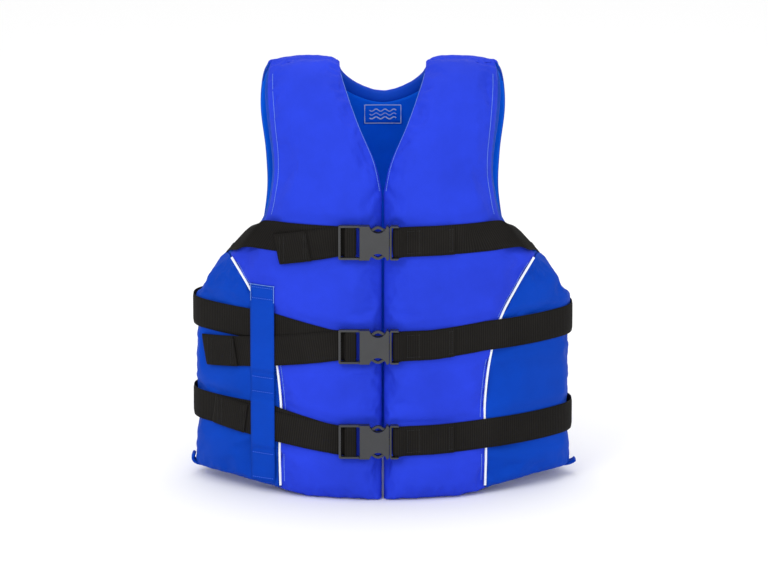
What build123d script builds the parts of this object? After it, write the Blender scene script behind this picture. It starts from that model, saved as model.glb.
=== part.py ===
"""Foam life jacket with three webbing belts and side release buckles. Millimetres, +Z up, front towards -Y.

The jacket stands on its hem, with the origin under its middle. Left and right are the wearer's, so left is +X.
The torso wall lies between nested ovals: a straight lower part and a shoulder part that closes over the top.
A share of 0 is the wall's outer face and a share of 1 its inner face.
"""

import os
from math import sqrt

from build123d import *

# Torso wall
half_width = 238.0
half_depth = 134.0
wall_front = 38.0
wall_side = 24.0
corner_share = 0.366  # side corner radius over half depth
shoulder_start = 350.0
shoulder_top = 545.0
shoulder_wall = 14.0
shoulder_power = 0.55
rises = (0, 0.16, 0.32, 0.47, 0.61, 0.73, 0.83, 0.91, 0.96, 0.99)

# Panels
fabric = 0.03  # share of the wall taken by a fabric skin
foam_layers = {"outer": (0.045, 0.34), "middle": (0.35, 0.65), "inner": (0.66, 0.955)}
seam_gap = 0.2
edge_skin = 1.5
foam_inset = 4.0
front_gap = 1.0
hem_height = 6.0
hem_rise = 14.0
hem_flat = 95.0
reach = 320.0
middle_shift = 4.45  # moves the whole jacket back, so that its box is centred with the buckles in front

# Webbing belts
web_width = 38.0
web_thick = 1.6
web_lift = 1.5  # clear of the piping
layer_gap = 0.3
fold_length = 40.0

# Buckle, along X from the ladder bar to the clip's bar, with Z across the web
buckle_back = 135.0
buckle_thick = 11.0
buckle_half = 21.8
ladder_end = -55.5
body_start = -29.0
mouth = 8.0
notch_x = -6.0
notch_radius = 11.0
arm_root_x = 6.0
arm_root_z = 15.5
arm_thick = 3.0

# Belt heights: at the buckle, on the wearer's left and on the right
belts = {
    "chest": {"buckle": 336.0, "left": 336.0, "right": 336.0, "back_left": 266.0, "back_right": 266.0,
              "tail_end": 133.0, "tail_drop": 0.20},
    "waist": {"buckle": 202.0, "left": 208.0, "right": 219.0, "back_left": 208.0, "back_right": 219.0,
              "tail_end": 226.0, "tail_drop": 0.165},
    "hip": {"buckle": 79.0, "left": 81.0, "right": 99.0, "back_left": 81.0, "back_right": 99.0,
            "tail_end": 213.0, "tail_drop": -0.13},
}

# Strap keeper, a fabric band over the waist and hip belts on the right
keeper_left = -170.0
keeper_right = -140.0
keeper_bottom = 16.0
keeper_top = 271.0
keeper_tunnels = ((57.0, 127.0), (156.0, 248.0))
keeper_lift = 5.6
keeper_thick = 1.0


def front_radius(half_x, half_y, corner):
    """Radius of the long arcs of an oval whose side arcs have the corner radius."""
    return ((half_x - corner) ** 2 + half_y**2 - corner**2) / (2 * (half_y - corner))


main_radius = front_radius(half_width, half_depth, half_depth * corner_share)
main_centre = main_radius - half_depth  # the front arc's centre is at y = +main_centre


def front_face(x, lift=0.0):
    """How far forward the outer face is at x, measured from the middle."""
    return sqrt((main_radius + lift) ** 2 - x**2) - main_centre


def oval(half_x, half_y, corner):
    """An oval of four tangent arcs, filled."""
    radius = front_radius(half_x, half_y, corner)
    spread = radius / (radius - corner)
    touch_x = (half_x - corner) * spread
    touch_y = (radius - half_y) * (spread - 1)
    with BuildLine() as outline:
        ThreePointArc((-touch_x, -touch_y), (0, -half_y), (touch_x, -touch_y))
        ThreePointArc((touch_x, -touch_y), (half_x, 0), (touch_x, touch_y))
        ThreePointArc((touch_x, touch_y), (0, half_y), (-touch_x, touch_y))
        ThreePointArc((-touch_x, touch_y), (-half_x, 0), (-touch_x, -touch_y))
    make_face(outline.edges())


def wall_oval(share, rise):
    """The oval at this share of the wall, from rise 0 at the chest to 1 at the shoulder top."""
    half_y = (half_depth - wall_front * share) * (1 - rise**2) ** shoulder_power
    oval(half_width - wall_side * share, half_y, half_y * (corner_share - 0.054 * share))


def torso(share):
    """Everything inside this share of the wall, with an open bottom."""
    height = shoulder_top - shoulder_wall * share - shoulder_start
    with BuildPart() as body:
        with BuildSketch():
            wall_oval(share, 0)
        extrude(amount=shoulder_start)
        for rise in rises:
            with BuildSketch(Plane.XY.offset(shoulder_start + height * rise)):
                wall_oval(share, rise)
        loft()
    return body.part


def wall(outer, inner):
    """The layer of the wall between two shares."""
    with BuildPart() as layer:
        add(torso(outer))
        add(torso(inner), mode=Mode.SUBTRACT)
    return layer.part


def hem_line(inset=0.0):
    """Points of the hem from the middle to the side, flat in front and rising to the side seam."""
    return [(x, hem_height + rise + inset) for x, rise in
            ((hem_flat, 0), (140, hem_rise * 0.6), (190, hem_rise), (half_width + 8, hem_rise))]


def mirror_points(points, side):
    return [(side * x, z) for x, z in points]


def front_outline(side, inset=0.0):
    """Front panel seen from the front: centre edge, V neck, shoulder, armhole, side seam and hem."""
    centre = front_gap + inset
    neck = [(centre, 396 - inset), (9 + inset, 432), (28 + inset, 474), (47 + inset, 520), (60 + inset, 560)]
    arm = [(140, 560), (141, 516), (138, 477), (133.5, 430), (136, 393), (149, 345), (189, 300), (223, 257),
           (half_width + 8, 243)]
    arm = [(x - inset, z - inset / 2) for x, z in arm]
    hem = hem_line(inset)
    with BuildLine() as outline:
        Polyline(*mirror_points([(hem[0][0], hem[0][1]), (centre, hem[0][1]), neck[0]], side))
        Spline(*mirror_points(neck, side))
        Polyline(*mirror_points([neck[-1], arm[0]], side))
        Spline(*mirror_points(arm, side))
        Polyline(*mirror_points([arm[-1], (half_width + 8, 200), hem[-1]], side))
        Spline(*mirror_points(hem, side))
    make_face(outline.edges())


def back_outline(inset=0.0):
    """Back panel: scooped neck, two shoulders, armholes and hem."""
    arm = [(143, 560), (152, 516), (154, 470), (148, 410), (146, 350), (155, 288), (176, 244), (half_width + 8, 232)]
    arm = [(x - inset, z - inset / 2) for x, z in arm]
    neck = [(60 + inset, 560), (46 + inset, 512), (0, 486 - inset), (-46 - inset, 512), (-60 - inset, 560)]
    hem = hem_line(inset)
    with BuildLine() as outline:
        Spline(*neck)
        for side in (1, -1):
            Polyline(*mirror_points([(neck[0][0], 560), arm[0]], side))
            Spline(*mirror_points(arm, side))
            Polyline(*mirror_points([arm[-1], (half_width + 8, 200), hem[-1]], side))
            Spline(*mirror_points(hem, side))
        Line((-hem_flat, hem[0][1]), (hem_flat, hem[0][1]))
    make_face(outline.edges())


def prism(outline, inset, facing, gap):
    """The outline pushed forward (facing 1) or backward (facing -1) from the middle plane."""
    with BuildPart() as block:
        with BuildSketch(Plane.XZ.offset(facing * gap)):
            outline(inset)
        extrude(amount=facing * reach)
    return block.part


def cut_from(layer, block):
    """The piece of a wall layer inside a prism."""
    with BuildPart() as piece:
        add(layer)
        add(block, mode=Mode.INTERSECT)
    return piece.part


def save(part, name):
    """Moves a finished piece to its place, labels it and writes it."""
    placed = Pos(0, middle_shift, 0) * part
    placed.label = name
    export_step(placed, f"parts/{name}.step")


def cover_tray(outline, facing):
    """Outer fabric of a panel with its turned-in edges, open towards the lining."""
    with BuildPart() as tray:
        add(cut_from(whole_wall, prism(outline, 0, facing, seam_gap)))
        add(cut_from(torso(fabric), prism(outline, edge_skin, facing, edge_skin + seam_gap)), mode=Mode.SUBTRACT)
    return tray.part


def panel_filling(name, outline, facing):
    """Lining and foam sheets of a panel."""
    save(cut_from(lining_layer, prism(outline, edge_skin + 0.3, facing, edge_skin + 0.5)), f"{name}_lining")
    block = prism(outline, foam_inset, facing, foam_inset)
    for layer, sheet in foam_sheets.items():
        save(cut_from(sheet, block), f"{name}_foam_{layer}")


def piping_line(side):
    """The seam between the centre and side fabrics, from the armhole down to the hem."""
    points = [(192, 300), (168, 262), (147, 222), (134, 170), (128, 110), (130, 60), (129, 0)]
    return Spline(*mirror_points(points, side))


def side_zone(side, near=0.0):
    """Prism outboard of the piping seam."""
    with BuildPart() as zone:
        with BuildSketch(Plane.XZ):
            with BuildLine():
                seam = piping_line(side)
                outer = side * (half_width + 20)
                Polyline(seam @ 1, (outer, 0), (outer, 330), (side * 192, 330), seam @ 0)
            make_face()
        extrude(amount=reach)
    return zone.part


def front_panel(name, side):
    """Centre cover, side cover, piping, lining, foam and hem of one front panel."""
    def outline(inset):
        front_outline(side, inset)

    tray = cover_tray(outline, 1)
    zone = side_zone(side)
    with BuildPart() as centre_cover:
        add(tray)
        add(zone, mode=Mode.SUBTRACT)
    save(centre_cover.part, f"front_{name}_cover")
    save(cut_from(tray, zone), f"{name}_side_cover")
    panel_filling(f"front_{name}", outline, 1)

    with BuildPart() as piping:
        with BuildSketch(Plane.XZ):
            with BuildLine() as seam:
                piping_line(side)
            trace(seam.line, line_width=3.0)
        extrude(amount=reach)
        add(prism(outline, 0, 1, seam_gap), mode=Mode.INTERSECT)
        add(piping_layer, mode=Mode.INTERSECT)
    save(piping.part, f"{name}_piping")


def hem_band(name, facing, low_x, high_x):
    """Bottom closing strip of a panel, flat underneath in the middle so that the jacket can stand on it."""
    with BuildPart() as band:
        with BuildSketch(Plane.XZ.offset(facing * seam_gap)):
            with BuildLine():
                top = [(-x, z) for x, z in reversed(hem_line(-0.2))] + hem_line(-0.2)
                count = len(top) // 2
                left_top = Spline(*top[:count])
                right_top = Spline(*top[count:])
                Line(left_top @ 1, right_top @ 0)
                low = [(x, z - hem_height + 0.2) for x, z in top]
                left_low = Spline(*low[:count])
                right_low = Spline(*low[count:])
                Line(left_low @ 1, right_low @ 0)
                Line(left_top @ 0, left_low @ 0)
                Line(right_top @ 1, right_low @ 1)
            make_face()
        extrude(amount=facing * reach)
        with Locations(((low_x + high_x) / 2, 0, 0)):
            Box(high_x - low_x, 2 * reach, 80, mode=Mode.INTERSECT)
        add(whole_wall, mode=Mode.INTERSECT)
    save(band.part, f"{name}_hem")


def shoulder_seam(name, side):
    """Binding over the seam where front and back meet on the shoulder."""
    with BuildPart() as binding:
        add(binding_layer)
        with Locations((side * 100, 0, shoulder_top - 10)):
            Box(74, 18, 60, mode=Mode.INTERSECT)
    save(binding.part, f"{name}_shoulder_binding")


def size_label():
    """Sewn label inside the back, under the neck."""
    with BuildPart() as label:
        with BuildSketch(Plane.XZ.offset(-seam_gap)):
            with Locations((0, 453)):
                Rectangle(48, 27)
        extrude(amount=-reach)
        add(wall(1.006, 1.022), mode=Mode.INTERSECT)
    save(label.part, "size_label")


def belt_loop(lift):
    """Plan outline of a strip of webbing round the torso, lying this far off it."""
    corner = half_depth * corner_share
    outer = lift + web_thick
    oval(half_width + outer, half_depth + outer, corner + outer)
    with BuildSketch(mode=Mode.PRIVATE) as inside:
        oval(half_width + lift, half_depth + lift, corner + lift)
    add(inside.sketch, mode=Mode.SUBTRACT)


def arm_ribbon(side, first, last):
    """Stretch of the chest belt that folds over the front's armhole edge and drops to the back, as a ruled strip."""
    off = web_lift + web_thick / 2
    edges = [  # upper edge, then lower edge, from front to back
        ((118, -front_face(118, off), 355), (136, -front_face(136, off), 317)),
        ((146, -front_face(146, off), 355), (170, -front_face(170, off), 317)),
        ((156, -front_face(156, off - 2), 349), (184, -front_face(184, off - 3), 310)),
        ((168, -50, 334), (196, -37, 300)),
        ((184, 0, 305), (209, 0, 274)),
        ((190, 50, 290), (205, 52, 256)),
        ((172, front_face(172, off + 3), 285), (178, front_face(178, off + 3.5), 247)),
        ((124, front_face(124, off), 284.6), (138, front_face(138, off), 247.4)),
    ][first:last + 1]
    edges = [tuple(Vector(side * x, y, z) for x, y, z in pair) for pair in edges]
    middles = [(upper + lower) * 0.5 for upper, lower in edges]
    with BuildPart() as strip:
        for index, (upper, lower) in enumerate(edges):
            along = middles[min(index + 1, len(edges) - 1)] - middles[max(index - 1, 0)]
            across = upper - lower
            with BuildSketch(Plane(middles[index], x_dir=across, z_dir=across.cross(along).cross(across))):
                Rectangle(across.length, web_thick)
        loft(ruled=True)
    return strip.part


def belt_band(name):
    """Block that a belt's webbing stays inside, in height: level at the buckle and rising to the sides."""
    height = belts[name]
    front = ((-290, height["right"]), (-145, height["right"]), (-62, height["buckle"]),
             (62, height["buckle"]), (130, height["left"]), (290, height["left"]))
    back = ((-290, height["back_right"]), (290, height["back_left"]))
    with BuildPart() as band:
        for line, facing in ((front, 1), (back, -1)):
            edge = [(x, z + web_width / 2) for x, z in line] + [(x, z - web_width / 2) for x, z in reversed(line)]
            with BuildSketch(Plane.XZ):
                with BuildLine():
                    Polyline(*edge, close=True)
                make_face()
            extrude(amount=facing * reach)
        if name == "chest":
            Box(290, 2 * reach, 900, mode=Mode.INTERSECT)
    return band.part


def belt(name):
    """Webbing from the socket's inner bar round the right side and the back to the left side."""
    lift = web_lift + web_thick / 2
    bar_right, bar_left = -33.9, -47.1
    bar_front = -142.6
    with BuildPart() as webbing:
        with BuildSketch():
            belt_loop(web_lift)
            with Locations((reach / 2 - 62, -reach / 2)):
                Rectangle(reach, reach, mode=Mode.SUBTRACT)
            with BuildLine() as bar_turn:
                FilletPolyline((-62, -front_face(62, lift)), (bar_right, -front_face(32, lift) + 0.3),
                               (bar_right, bar_front), (bar_left, bar_front),
                               (bar_left, -front_face(50, lift + 2.1)), (-52, -front_face(52, lift + 1.9)), radius=1.3)
            trace(bar_turn.line, line_width=web_thick)
        extrude(amount=shoulder_start + 60)
        add(belt_band(name), mode=Mode.INTERSECT)
    pieces = webbing.solids()
    if name == "chest":
        pieces += [arm_ribbon(-1, 0, 7).solid(), arm_ribbon(1, 4, 7).solid()]
    with BuildPart() as whole:
        for piece in pieces:
            add(piece)
    save(whole.part, f"{name}_belt")


def clip_web(name):
    """Webbing from the clip's bar, folded back and sewn on itself, along the left front to the side."""
    lift = web_lift + web_thick / 2
    bar_left, bar_front = 13.4, -143.1
    land = 50.0
    with BuildPart() as webbing:
        with BuildSketch():
            belt_loop(web_lift)
            with Locations((0, reach / 2 - layer_gap)):
                Rectangle(2 * reach, reach, mode=Mode.SUBTRACT)
            with Locations((land - reach / 2, -reach / 2)):
                Rectangle(reach, reach, mode=Mode.SUBTRACT)
            with BuildLine() as bar_turn:
                FilletPolyline((land, -front_face(land, lift)), (26, -front_face(26, lift + 0.8)), (19, -137.9),
                               (bar_left, -137.9), (bar_left, bar_front), (20, bar_front),
                               (28, -front_face(28, lift + 3.4)), (land, -front_face(land, lift + 2.2)),
                               (land + fold_length, -front_face(land + fold_length, lift + 2.2)), radius=1.2)
            trace(bar_turn.line, line_width=web_thick)
        extrude(amount=shoulder_start + 60)
        add(belt_band(name), mode=Mode.INTERSECT)
        if name == "chest":
            add(arm_ribbon(1, 0, 4))
            with Locations((0, reach / 2 - layer_gap, 0)):
                Box(2 * reach, reach, 900, mode=Mode.SUBTRACT)
    save(webbing.part, f"{name}_clip_web")


def tail(name):
    """Loose end of a belt beyond the socket's ladder bar, with its end folded over, on the front arc."""
    height, end, drop = (belts[name][key] for key in ("buckle", "tail_end", "tail_drop"))
    inner = main_radius + web_lift + web_thick + layer_gap
    start = 52.9
    with BuildPart() as webbing:
        with BuildSketch():
            with Locations((0, main_centre)):
                Circle(inner + web_thick)
                Circle(inner, mode=Mode.SUBTRACT)
            with BuildSketch(mode=Mode.PRIVATE) as fold:
                with Locations((0, main_centre)):
                    Circle(inner + 2 * web_thick + 0.2)
                    Circle(inner + web_thick - 0.1, mode=Mode.SUBTRACT)
                with Locations((-end + fold_length / 2, -half_depth)):
                    Rectangle(fold_length, 300, mode=Mode.INTERSECT)
            add(fold.sketch)
        extrude(amount=shoulder_start + 60)
        with BuildSketch(Plane.XZ):
            with BuildLine() as line:
                Line((0, height + drop * start), (-end, height - drop * (end - start)))
            trace(line.line, line_width=web_width)
        extrude(amount=reach, mode=Mode.INTERSECT)
        with Locations((-start - reach / 2, -half_depth, height)):
            Box(reach, 2 * reach, 400, mode=Mode.INTERSECT)
    save(webbing.part, f"{name}_tail")


def keeper():
    """Fabric band sewn down above, between and below two belts, which run through its tunnels."""
    ramp = 5.0
    path = [(web_lift, keeper_bottom)]
    for low, high in keeper_tunnels:
        path += [(web_lift, low), (keeper_lift, low + ramp), (keeper_lift, high - ramp), (web_lift, high)]
    path.append((web_lift, keeper_top))
    path += [(lift + keeper_thick, z) for lift, z in reversed(path)]
    with BuildPart() as band:
        with BuildSketch(Plane.YZ):
            with BuildLine():
                Polyline(*((-half_depth - lift, z) for lift, z in path), close=True)
            make_face()
        revolve(axis=Axis((0, main_centre, 0), (0, 0, 1)))
        with Locations(((keeper_left + keeper_right) / 2, -half_depth, 0)):
            Box(keeper_right - keeper_left, 240, 900, mode=Mode.INTERSECT)
    save(band.part, "strap_keeper")


def socket(name):
    """Female buckle half: hollow body with thumb notches, rails, ladder bars for the webbing."""
    z = belts[name]["buckle"]
    with BuildPart() as half:
        with BuildSketch(Plane.XZ.offset(buckle_back)):
            with Locations(((ladder_end + mouth) / 2, z)):
                RectangleRounded(mouth - ladder_end, 2 * buckle_half, 2.5)
            with Locations(((ladder_end + body_start) / 2, z)):
                Rectangle(body_start - ladder_end, 2 * (buckle_half - 2.5), mode=Mode.SUBTRACT)
            with Locations((ladder_end + 1.25, z)):
                Rectangle(2.5, 2 * buckle_half - 5)
        extrude(amount=buckle_thick)
        rims = half.faces().sort_by(Axis.Y)[0].edges()
        fillet(rims, radius=0.8)
        with BuildSketch(Plane.XZ.offset(buckle_back - 1)):
            with Locations((notch_x, z + buckle_half + 2.2), (notch_x, z - buckle_half - 2.2)):
                Circle(notch_radius)
        extrude(amount=buckle_thick + 2, mode=Mode.SUBTRACT)
        with Locations(((mouth - 26) / 2 + 1, -buckle_back - buckle_thick / 2, z)):
            Box(mouth + 28, 6, 36.4, mode=Mode.SUBTRACT)
        with Locations((ladder_end + 12, -buckle_back - buckle_thick + 1, z)):
            Box(28, 6, 60, mode=Mode.SUBTRACT)
        with Locations((ladder_end + 1.5, -137.3, z)):
            Box(3, 4.2, 2 * buckle_half - 1)
        with Locations((-40.5, -140, z)):
            Box(11, 3, 2 * buckle_half - 1)
    save(half.part, f"{name}_buckle_socket")


def clip(name):
    """Male buckle half: base with the web bar and the centre guide. Its two arms are pieces of their own."""
    z = belts[name]["buckle"]
    base_left, base_right = mouth + 0.4, 20.5
    with BuildPart() as half:
        with BuildSketch(Plane.XZ.offset(buckle_back + 0.5)):
            with Locations(((base_left + base_right) / 2, z)):
                RectangleRounded(base_right - base_left, 2 * buckle_half, 3)
            with Locations((base_right - 4.5, z)):
                Rectangle(10, 39.2, mode=Mode.SUBTRACT)
        extrude(amount=buckle_thick - 1)
        rims = half.faces().sort_by(Axis.Y)[0].edges()
        fillet(rims, radius=0.5)
        with Locations((17, -140.5, z)):
            Box(4, 3, 40)
        with Locations(((base_left - 22) / 2, -140.5, z)):
            Box(base_left + 22.5, 4, 8)
    save(half.part, f"{name}_buckle_clip")


def clip_arm(name, side, label):
    """Springy arm of the clip: a bow that shows in the socket's notch, on a round root at its hinge."""
    z = belts[name]["buckle"]
    with BuildPart() as arm:
        with BuildSketch(Plane.XZ.offset(138)):
            with BuildLine() as bow:
                Spline((arm_root_x, z + side * arm_root_z), (2, z + side * 16.1), (notch_x, z + side * 19.8),
                       (-13, z + side * 16.4), (-18.5, z + side * 14.6))
            trace(bow.line, line_width=arm_thick)
            with Locations((arm_root_x, z + side * arm_root_z)):
                Circle(2.2)
            with Locations((-18.5, z + side * 14.6)):
                Circle(arm_thick / 2)
        extrude(amount=5)
    save(arm.part, f"{name}_{label}_arm")


os.makedirs("parts", exist_ok=True)

whole_wall = wall(0, 1)
lining_layer = wall(1 - fabric, 1)
piping_layer = wall(-0.032, -0.006)
binding_layer = wall(-0.045, -0.006)
foam_sheets = {layer: wall(*shares) for layer, shares in foam_layers.items()}

front_panel("left", 1)
front_panel("right", -1)
save(cover_tray(back_outline, -1), "back_cover")
panel_filling("back", back_outline, -1)
hem_band("front_left", 1, front_gap, half_width + 10)
hem_band("front_right", 1, -half_width - 10, -front_gap)
hem_band("back", -1, -half_width - 10, half_width + 10)
shoulder_seam("left", 1)
shoulder_seam("right", -1)
size_label()

for belt_name in belts:
    belt(belt_name)
    clip_web(belt_name)
    tail(belt_name)
    socket(belt_name)
    clip(belt_name)
    clip_arm(belt_name, 1, "upper")
    clip_arm(belt_name, -1, "lower")
keeper()
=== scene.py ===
import math

import bmesh
import bpy
import numpy as np
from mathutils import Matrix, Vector


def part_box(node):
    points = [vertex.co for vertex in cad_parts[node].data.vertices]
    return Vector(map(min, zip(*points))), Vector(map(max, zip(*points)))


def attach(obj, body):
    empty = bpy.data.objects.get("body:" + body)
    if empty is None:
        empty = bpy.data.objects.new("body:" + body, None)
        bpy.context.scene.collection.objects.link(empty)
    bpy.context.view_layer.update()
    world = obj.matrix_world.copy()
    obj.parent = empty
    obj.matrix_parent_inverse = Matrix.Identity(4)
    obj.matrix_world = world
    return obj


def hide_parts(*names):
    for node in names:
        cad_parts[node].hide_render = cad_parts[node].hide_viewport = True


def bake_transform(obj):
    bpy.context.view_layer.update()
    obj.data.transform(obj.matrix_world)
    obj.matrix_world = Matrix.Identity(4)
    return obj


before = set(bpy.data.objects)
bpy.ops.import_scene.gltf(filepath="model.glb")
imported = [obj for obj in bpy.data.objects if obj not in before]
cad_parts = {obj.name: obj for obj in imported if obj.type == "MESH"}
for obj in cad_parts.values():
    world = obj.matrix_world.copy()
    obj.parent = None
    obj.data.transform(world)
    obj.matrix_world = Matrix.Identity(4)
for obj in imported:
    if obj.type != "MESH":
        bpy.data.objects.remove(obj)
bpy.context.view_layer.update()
mm = 0.001
print("frame loaded")

# the torso's form, in metres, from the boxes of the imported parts
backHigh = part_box("back_cover")[1]
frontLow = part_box("front_left_cover")[0]
torso = {
    "halfWidth": backHigh.x,
    "halfDepth": (backHigh.y - frontLow.y) / 2,
    "middle": (backHigh.y + frontLow.y) / 2,  # y of the shoulder and side seams
    "wallFront": 38 * mm,
    "wallSide": 24 * mm,
    "cornerShare": 0.366,
    "cornerFall": 0.054,
    "shoulderStart": 350 * mm,
    "shoulderRise": 190 * mm,
    "seamLap": 0.4 * mm,  # front and back meet a little past the side and shoulder seams
    "endGap": 0.3 * mm,  # the cloth's last row stops this far short of a seam
    "shoulderWall": 14 * mm,
    "shoulderPower": 1.1,
}
quarterTurn = math.pi / 2


# half width, half depth, corner radius, front radius, turn angle and height of the oval at a row
def rowForm(row, share):
    turn = np.clip(row / torso["shoulderRise"], 0, quarterTurn)
    fall = np.maximum(np.cos(turn), 1e-3) ** torso["shoulderPower"]
    halfX = torso["halfWidth"] - torso["wallSide"] * share
    halfY = (torso["halfDepth"] - torso["wallFront"] * share) * fall
    corner = halfY * (torso["cornerShare"] - torso["cornerFall"] * share)
    radius = ((halfX - corner) ** 2 + halfY**2 - corner**2) / (2 * (halfY - corner))
    rise = torso["shoulderRise"] - torso["shoulderWall"] * share
    height = torso["shoulderStart"] + np.where(row < 0, row, rise * np.sin(turn))
    return halfX, halfY, corner, radius, np.arcsin((halfX - corner) / (radius - corner)), height


def angleAtX(x, row):
    halfX, _, corner, radius, turn, _ = rowForm(row, 0.0)
    onFront = np.arcsin(np.clip(x / radius, -1, 1))
    onCorner = np.arcsin(np.clip((x - (halfX - corner)) / corner, -1, 1))
    return np.where(onFront <= turn, onFront, onCorner)


def arcAtX(x, row):
    _, _, corner, radius, turn, _ = rowForm(row, 0.0)
    angle = angleAtX(x, row)
    return np.where(angle <= turn, radius * angle, radius * turn + corner * (angle - turn))


def angleAtArc(arc, row):
    _, _, corner, radius, turn, _ = rowForm(row, 0.0)
    return np.where(arc <= radius * turn, arc / radius, turn + (arc - radius * turn) / corner)


# a point of the wall: signed angle, row, share of the wall's depth, and -1 for the front or 1 for the back
def wallPoint(angle, row, share, facing):
    halfX, halfY, corner, radius, turn, height = rowForm(row, share)
    size, side = np.abs(angle), np.sign(angle)
    onFront = size <= turn
    x = np.where(onFront, radius * np.sin(size), halfX - corner + corner * np.sin(size))
    y = np.where(onFront, radius * np.cos(size) - (radius - halfY), corner * np.cos(size))
    return np.stack([side * x, torso["middle"] + facing * (y - torso["seamLap"]), height + 0 * x], axis=-1)


mainForm = rowForm(np.array(-0.1), 0.0)
mainRadius, mainCorner, mainTurn = (float(mainForm[i]) for i in (3, 2, 4))
mainCentre = mainRadius - torso["halfDepth"]


# how far the outer face lies from the middle at x
def faceDepth(x, lift=0.0):
    return math.sqrt((mainRadius + lift) ** 2 - x * x) - mainCentre


def onFront(x, z, lift):
    return (x, -faceDepth(x, lift) + torso["middle"], z)


# plan point of a loop round the torso: angle 0 is the front's middle, positive towards +X
def loopPoint(angle, lift):
    turned = (angle + math.pi) % (2 * math.pi) - math.pi
    facing = -1 if abs(turned) <= quarterTurn else 1
    size = abs(turned) if facing < 0 else math.pi - abs(turned)
    side = 1 if turned >= 0 else -1
    halfX = torso["halfWidth"]
    if size <= mainTurn:
        x, y = (mainRadius + lift) * math.sin(size), (mainRadius + lift) * math.cos(size) - mainCentre
    else:
        x = halfX - mainCorner + (mainCorner + lift) * math.sin(size)
        y = (mainCorner + lift) * math.cos(size)
    return side * x, facing * y


# Catmull-Rom curve through points of any size
def smoothThrough(points, steps=24):
    p = np.array(points, float)
    p = np.vstack([2 * p[0] - p[1], p, 2 * p[-1] - p[-2]])
    out = []
    for i in range(1, len(p) - 2):
        a, b, c, d = p[i - 1], p[i], p[i + 1], p[i + 2]
        for t in np.linspace(0, 1, steps, endpoint=False):
            bend, twist = 2 * a - 5 * b + 4 * c - d, 3 * b - a - 3 * c + d
            out.append(0.5 * (2 * b + (c - a) * t + bend * t * t + twist * t**3))
    return np.array(out + [p[-2]])


# x as a function of z along an outline given from top to bottom or bottom to top, in millimetres
def widthAtHeight(points):
    curve = smoothThrough(points) * mm
    if curve[0, 1] > curve[-1, 1]:
        curve = curve[::-1]
    return lambda z: np.interp(z, curve[:, 1], curve[:, 0])


outlines = {
    "neck": widthAtHeight([(1, 380), (1, 396), (9, 432), (28, 474), (47, 520), (60, 560)]),
    "frontArm": widthAtHeight([(140, 560), (141, 516), (138, 477), (133.5, 430), (136, 393), (149, 345),
                               (189, 299), (206, 280), (227, 258), (239, 235)]),
    "backArm": widthAtHeight([(141, 560), (146, 516), (148, 470), (144, 410), (144, 350), (155, 288),
                              (176, 244), (246, 232)]),
    "piping": widthAtHeight([(192, 300), (168, 262), (147, 222), (134, 170), (128, 110), (130, 60),
                             (129, 0)]),
    "backNeck": smoothThrough([(-60, 560), (-46, 512), (0, 486), (46, 512), (60, 560)])[48:] * mm,
    "hemRise": lambda x: np.interp(np.abs(x), [0, 0.095, 0.14, 0.19, 0.3], [0, 0, 0.0084, 0.014, 0.014]),
}


def newMaterial(name):
    material = bpy.data.materials.new(name)
    material.use_nodes = True
    tree = material.node_tree
    return material, tree, tree.nodes["Principled BSDF"]


def addNode(tree, kind, inputs=(), **settings):
    node = tree.nodes.new(kind)
    for key, value in settings.items():
        setattr(node, key, value)
    for key, value in inputs:
        node.inputs[key].default_value = value
    return node


# woven cloth: two crossed wave bands for the threads, broad noise for slight colour changes
def clothMaterial(name, colour, weave, coordinates="UV", along=None, depth=0.18, shade=0.10, roughness=0.68,
                  sheen=0.05, relief=0.35):
    material, tree, shader = newMaterial(name)
    link = tree.links.new
    where = addNode(tree, "ShaderNodeTexCoord")
    place = where.outputs[coordinates]
    noise = addNode(tree, "ShaderNodeTexNoise", [("Scale", 14.0), ("Detail", 5.0), ("Roughness", 0.6)])
    link(where.outputs["Object"], noise.inputs["Vector"])
    ramp = addNode(tree, "ShaderNodeValToRGB")
    ramp.color_ramp.elements[0].position = 0.3
    ramp.color_ramp.elements[0].color = (*[c * (1 - shade) for c in colour], 1)
    ramp.color_ramp.elements[1].position = 0.7
    ramp.color_ramp.elements[1].color = (*[min(1, c * (1 + shade)) for c in colour], 1)
    link(noise.outputs["Fac"], ramp.inputs["Fac"])
    waves = []
    for direction, scale in (("X", along or weave), ("Y", weave)):
        wave = addNode(tree, "ShaderNodeTexWave", [("Scale", scale), ("Distortion", 0.6), ("Detail", 1.0)],
                       wave_type="BANDS", bands_direction=direction)
        link(place, wave.inputs["Vector"])
        waves.append(wave)
    weaveMix = addNode(tree, "ShaderNodeMath", operation="MULTIPLY")
    link(waves[0].outputs["Fac"], weaveMix.inputs[0])
    link(waves[1].outputs["Fac"], weaveMix.inputs[1])
    darker = addNode(tree, "ShaderNodeMix", data_type="RGBA", blend_type="MULTIPLY")
    darker.inputs[0].default_value = depth
    link(ramp.outputs["Color"], darker.inputs[6])
    link(weaveMix.outputs[0], darker.inputs[7])
    link(darker.outputs[2], shader.inputs["Base Color"])
    bump = addNode(tree, "ShaderNodeBump", [("Strength", relief), ("Distance", 0.0003)])
    link(weaveMix.outputs[0], bump.inputs["Height"])
    link(bump.outputs["Normal"], shader.inputs["Normal"])
    shader.inputs["Roughness"].default_value = roughness
    shader.inputs["Sheen Weight"].default_value = sheen
    shader.inputs["Sheen Roughness"].default_value = 0.45
    shader.inputs["Sheen Tint"].default_value = (*[min(1, 0.05 + c) for c in colour], 1)
    shader.inputs["Specular IOR Level"].default_value = 0.08
    return material


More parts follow.
